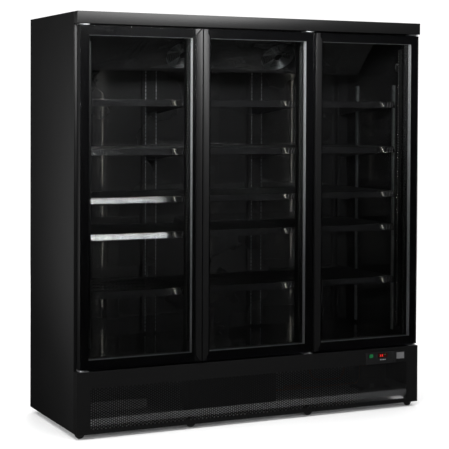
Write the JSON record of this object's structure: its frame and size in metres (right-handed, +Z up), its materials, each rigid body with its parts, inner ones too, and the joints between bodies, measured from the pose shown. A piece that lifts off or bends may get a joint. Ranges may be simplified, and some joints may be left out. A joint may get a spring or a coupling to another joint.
{
  "type": "glass door merchandiser",
  "caption": "Upright refrigerated display cabinet with hinged glass doors, shelves, a top header and a ventilated machine base on castors.",
  "frame": {"origin": "on the floor, under the middle of the whole object", "axes": "+X to the viewer's right when facing the doors, +Y to the back, +Z up; the doors face -Y"},
  "size_m": [1.88, 0.73, 1.997],
  "materials": {
    "black_paint": "satin black powder coat",
    "black_liner": "gloss black coated sheet",
    "shelf_paint": "black coated wire and sheet",
    "zinc_steel": "zinc plated sheet steel",
    "door_glass": "clear multi pane unit with a black printed edge",
    "gasket_rubber": "matt black magnetic seal",
    "black_plastic": "moulded black plastic",
    "fin_aluminium": "fin stock",
    "black_enamel": "gloss black enamel",
    "green_plastic": "translucent green rocker",
    "tyre_rubber": "black tread with a grey hub"
  },
  "bodies": {
    "cabinet": {"foamed_casing": "black_paint", "rear_cover": "black_paint", "header_fascia": "black_paint", "grille_panel": "black_paint", "inner_liner": "black_liner", "front_frame": "black_liner", "rear_pilaster_left": "black_liner", "rear_pilaster_right": "black_liner", "evaporator_cover": "black_liner", "base_tray": "zinc_steel", "shelf_left_1": "shelf_paint", "shelf_left_2": "shelf_paint", "shelf_left_3": "shelf_paint", "shelf_left_4": "shelf_paint", "shelf_left_5": "shelf_paint", "shelf_middle_1": "shelf_paint", "shelf_middle_2": "shelf_paint", "shelf_middle_3": "shelf_paint", "shelf_middle_4": "shelf_paint", "shelf_middle_5": "shelf_paint", "shelf_right_1": "shelf_paint", "shelf_right_2": "shelf_paint", "shelf_right_3": "shelf_paint", "shelf_right_4": "shelf_paint", "shelf_right_5": "shelf_paint", "hinge_left_bottom": "zinc_steel", "hinge_left_top": "zinc_steel", "hinge_middle_bottom": "zinc_steel", "hinge_middle_top": "zinc_steel", "hinge_right_bottom": "zinc_steel", "hinge_right_top": "zinc_steel", "control_panel": "black_plastic", "evaporator_coil": "fin_aluminium", "condenser": "black_enamel", "compressor": "black_enamel"},
    "door_left": {"door_left_frame": "black_paint", "door_left_glass": "door_glass", "door_left_gasket": "gasket_rubber"},
    "door_middle": {"door_middle_frame": "black_paint", "door_middle_glass": "door_glass", "door_middle_gasket": "gasket_rubber"},
    "door_right": {"door_right_frame": "black_paint", "door_right_glass": "door_glass", "door_right_gasket": "gasket_rubber"},
    "evaporator_fan_left_wheel": {"evaporator_fan_left": "black_plastic"},
    "evaporator_fan_right_wheel": {"evaporator_fan_right": "black_plastic"},
    "condenser_fan_wheel": {"condenser_fan": "black_plastic"},
    "rocker": {"power_switch": "green_plastic"},
    "castor_front_far_left_swivel": {"castor_front_far_left_yoke": "zinc_steel"},
    "castor_front_far_left_roll": {"castor_front_far_left_wheel": "tyre_rubber"},
    "castor_front_mid_left_swivel": {"castor_front_mid_left_yoke": "zinc_steel"},
    "castor_front_mid_left_roll": {"castor_front_mid_left_wheel": "tyre_rubber"},
    "castor_front_mid_right_swivel": {"castor_front_mid_right_yoke": "zinc_steel"},
    "castor_front_mid_right_roll": {"castor_front_mid_right_wheel": "tyre_rubber"},
    "castor_front_far_right_swivel": {"castor_front_far_right_yoke": "zinc_steel"},
    "castor_front_far_right_roll": {"castor_front_far_right_wheel": "tyre_rubber"},
    "castor_rear_left_swivel": {"castor_rear_left_yoke": "zinc_steel"},
    "castor_rear_left_roll": {"castor_rear_left_wheel": "tyre_rubber"},
    "castor_rear_right_swivel": {"castor_rear_right_yoke": "zinc_steel"},
    "castor_rear_right_roll": {"castor_rear_right_wheel": "tyre_rubber"}
  },
  "joints": [
    {"name": "door_left_hinge", "type": "hinge", "parent": "cabinet", "child": "door_left", "pos_m": [-0.914, -0.339, 1.13], "axis": [0, 0, -1], "range_deg": [0, 100]},
    {"name": "door_middle_hinge", "type": "hinge", "parent": "cabinet", "child": "door_middle", "pos_m": [0.294, -0.339, 1.13], "axis": [0, 0, 1], "range_deg": [0, 100]},
    {"name": "door_right_hinge", "type": "hinge", "parent": "cabinet", "child": "door_right", "pos_m": [0.914, -0.339, 1.13], "axis": [0, 0, 1], "range_deg": [0, 100]},
    {"name": "evaporator_fan_left_spin", "type": "hinge", "parent": "cabinet", "child": "evaporator_fan_left_wheel", "pos_m": [-0.268, -0.02699, 1.8297], "axis": [0, 0.7006, 0.7136], "continuous": true},
    {"name": "evaporator_fan_right_spin", "type": "hinge", "parent": "cabinet", "child": "evaporator_fan_right_wheel", "pos_m": [0.268, -0.02699, 1.8297], "axis": [0, 0.7006, 0.7136], "continuous": true},
    {"name": "condenser_fan_spin", "type": "hinge", "parent": "cabinet", "child": "condenser_fan_wheel", "pos_m": [-0.102, -0.195, 0.1622], "axis": [0, 1, 0], "continuous": true},
    {"name": "power_switch_rock", "type": "hinge", "parent": "cabinet", "child": "rocker", "pos_m": [0.651, -0.347, 0.282], "axis": [0, 0, -1], "range_deg": [0, 12]},
    {"name": "castor_front_far_left_swivel_turn", "type": "hinge", "parent": "cabinet", "child": "castor_front_far_left_swivel", "pos_m": [-0.895, -0.297, 0.06], "axis": [0, 0, 1], "continuous": true},
    {"name": "castor_front_far_left_wheel_spin", "type": "hinge", "parent": "castor_front_far_left_swivel", "child": "castor_front_far_left_roll", "pos_m": [-0.90886, -0.29895, 0.02479], "axis": [-0.1392, 0.9903, 0], "continuous": true},
    {"name": "castor_front_mid_left_swivel_turn", "type": "hinge", "parent": "cabinet", "child": "castor_front_mid_left_swivel", "pos_m": [-0.325, -0.297, 0.06], "axis": [0, 0, 1], "continuous": true},
    {"name": "castor_front_mid_left_wheel_spin", "type": "hinge", "parent": "castor_front_mid_left_swivel", "child": "castor_front_mid_left_roll", "pos_m": [-0.33869, -0.29409, 0.02479], "axis": [0.2079, 0.9781, 0], "continuous": true},
    {"name": "castor_front_mid_right_swivel_turn", "type": "hinge", "parent": "cabinet", "child": "castor_front_mid_right_swivel", "pos_m": [0.325, -0.297, 0.06], "axis": [0, 0, 1], "continuous": true},
    {"name": "castor_front_mid_right_wheel_spin", "type": "hinge", "parent": "castor_front_mid_right_swivel", "child": "castor_front_mid_right_roll", "pos_m": [0.311, -0.297, 0.02479], "axis": [0, 1, 0], "continuous": true},
    {"name": "castor_front_far_right_swivel_turn", "type": "hinge", "parent": "cabinet", "child": "castor_front_far_right_swivel", "pos_m": [0.895, -0.297, 0.06], "axis": [0, 0, 1], "continuous": true},
    {"name": "castor_front_far_right_wheel_spin", "type": "hinge", "parent": "castor_front_far_right_swivel", "child": "castor_front_far_right_roll", "pos_m": [0.89743, -0.31079, 0.02479], "axis": [-0.9848, -0.1736, 0], "continuous": true},
    {"name": "castor_rear_left_swivel_turn", "type": "hinge", "parent": "cabinet", "child": "castor_rear_left_swivel", "pos_m": [-0.88, 0.295, 0.06], "axis": [0, 0, 1], "continuous": true},
    {"name": "castor_rear_left_wheel_spin", "type": "hinge", "parent": "castor_rear_left_swivel", "child": "castor_rear_left_roll", "pos_m": [-0.89316, 0.29021, 0.02479], "axis": [-0.342, 0.9397, 0], "continuous": true},
    {"name": "castor_rear_right_swivel_turn", "type": "hinge", "parent": "cabinet", "child": "castor_rear_right_swivel", "pos_m": [0.88, 0.295, 0.06], "axis": [0, 0, 1], "continuous": true},
    {"name": "castor_rear_right_wheel_spin", "type": "hinge", "parent": "castor_rear_right_swivel", "child": "castor_rear_right_roll", "pos_m": [0.86853, 0.30303, 0.02479], "axis": [0.5736, 0.8192, 0], "continuous": true}
  ]
}
